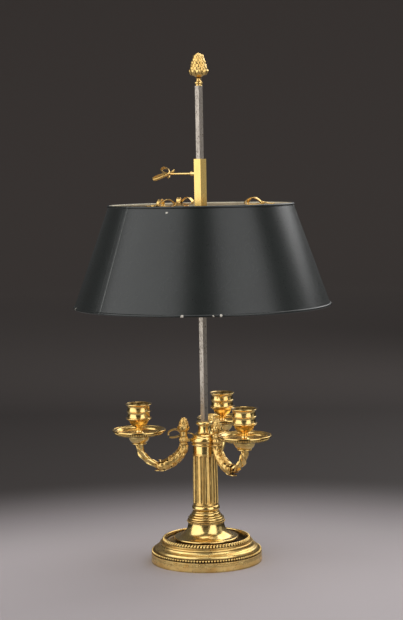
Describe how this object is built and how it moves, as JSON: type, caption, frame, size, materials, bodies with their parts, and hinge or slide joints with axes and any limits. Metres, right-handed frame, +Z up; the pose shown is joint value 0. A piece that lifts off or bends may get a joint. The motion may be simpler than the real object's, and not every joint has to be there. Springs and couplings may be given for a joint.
{
  "type": "bouillotte lamp",
  "caption": "Candle table lamp: fluted gilt column on a round beaded foot, scrolled candle arms, square rod, and a sliding painted metal shade clamped by a bow-handled key.",
  "frame": {"origin": "centre of the foot's resting plane, on the rod's axis", "axes": "+Z up the rod; +X and +Y square to two faces of the rod, with the thumb key pointing along -X"},
  "size_m": [0.345, 0.345, 0.6819],
  "materials": {
    "gilt_bronze": "mercury-gilt, part matt, part burnished",
    "polished_brass": "burnished",
    "rod_steel": "polished long ago, now dull and lightly pitted",
    "painted_tole": "green-black japanned outside, cream inside, worn at the edges",
    "cream_lacquer": "old cream paint",
    "plain_iron": "dark, unpolished"
  },
  "bodies": {
    "stand": {"base_foot": "gilt_bronze", "lower_bead_ring": "gilt_bronze", "upper_bead_ring": "gilt_bronze", "spread_foot": "polished_brass", "rope_ring": "gilt_bronze", "column_base": "gilt_bronze", "column_shaft": "gilt_bronze", "column_neck": "gilt_bronze", "arm_hub": "gilt_bronze", "hub_dome": "gilt_bronze", "rod_spool": "gilt_bronze", "square_rod": "rod_steel", "tie_washer": "plain_iron", "tie_nut": "plain_iron", "finial_cup": "gilt_bronze", "pinecone_finial": "gilt_bronze", "candle_arm_1": "gilt_bronze", "candle_arm_2": "gilt_bronze", "candle_arm_3": "gilt_bronze", "arm_knop_1": "gilt_bronze", "arm_knop_2": "gilt_bronze", "arm_knop_3": "gilt_bronze", "arm_bracket_1": "gilt_bronze", "arm_bracket_2": "gilt_bronze", "arm_bracket_3": "gilt_bronze", "arm_acorn_1": "gilt_bronze", "arm_acorn_2": "gilt_bronze", "arm_acorn_3": "gilt_bronze", "pan_holder_1": "gilt_bronze", "pan_holder_2": "gilt_bronze", "pan_holder_3": "gilt_bronze", "drip_pan_1": "gilt_bronze", "drip_pan_2": "gilt_bronze", "drip_pan_3": "gilt_bronze", "candle_nozzle_1": "gilt_bronze", "candle_nozzle_2": "gilt_bronze", "candle_nozzle_3": "gilt_bronze"},
    "shade_carrier": {"shade_sleeve": "polished_brass", "key_boss": "polished_brass", "spider_hub": "gilt_bronze", "spider_arm_1": "gilt_bronze", "spider_arm_2": "gilt_bronze", "spider_arm_3": "gilt_bronze", "ribbon_bow_1": "gilt_bronze", "ribbon_bow_2": "gilt_bronze", "ribbon_bow_3": "gilt_bronze", "strap_rivets": "gilt_bronze", "shade_lugs": "cream_lacquer", "shade_shell": "painted_tole", "shade_bottom_wire": "plain_iron", "shade_top_wire": "plain_iron"},
    "key": {"key_screw": "gilt_bronze", "key_bow": "gilt_bronze"}
  },
  "joints": [
    {"name": "shade_slide", "type": "slide", "parent": "stand", "child": "shade_carrier", "axis": [0, 0, 1], "range_m": [-0.2626, 0.0949]},
    {"name": "key_turn", "type": "hinge", "parent": "shade_carrier", "child": "key", "pos_m": [-0.02, 0, 0.5227], "axis": [-1, 0, 0], "range_deg": [0, 270]}
  ]
}
